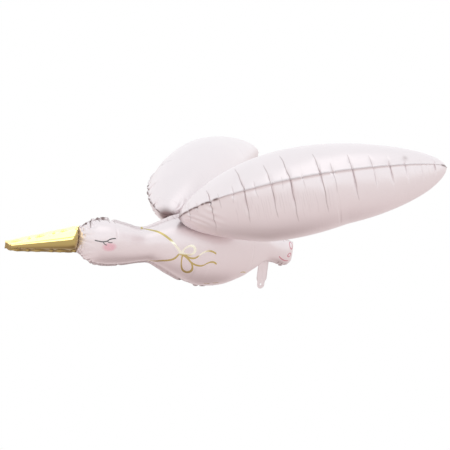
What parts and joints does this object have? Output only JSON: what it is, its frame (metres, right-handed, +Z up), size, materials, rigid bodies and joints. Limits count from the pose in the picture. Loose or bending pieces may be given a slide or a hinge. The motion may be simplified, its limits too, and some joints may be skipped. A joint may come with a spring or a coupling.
{
  "type": "foil stork balloon",
  "caption": "Flying stork made of inflated pale pink foil cushions with a gold foil beak, swept wings and a flat filling tab with a ribbon hole.",
  "frame": {"origin": "centre of the ribbon hole in the filling tab", "axes": "+X from the beak towards the tail, +Y towards the bird's right wing, +Z up; the bird flies nose up by 8.4 degrees"},
  "size_m": [1.7482, 1.4906, 0.73],
  "materials": {
    "pale_pink_foil": "satin pale pink metallised film with a printed face, gold ribbon bow and pink tail marks",
    "gold_foil": "mirror-bright gold metallised film, crimped at its welds"
  },
  "bodies": {
    "root": {"body": "pale_pink_foil", "beak": "gold_foil", "left_wing": "pale_pink_foil", "right_wing": "pale_pink_foil"}
  },
  "joints": []
}
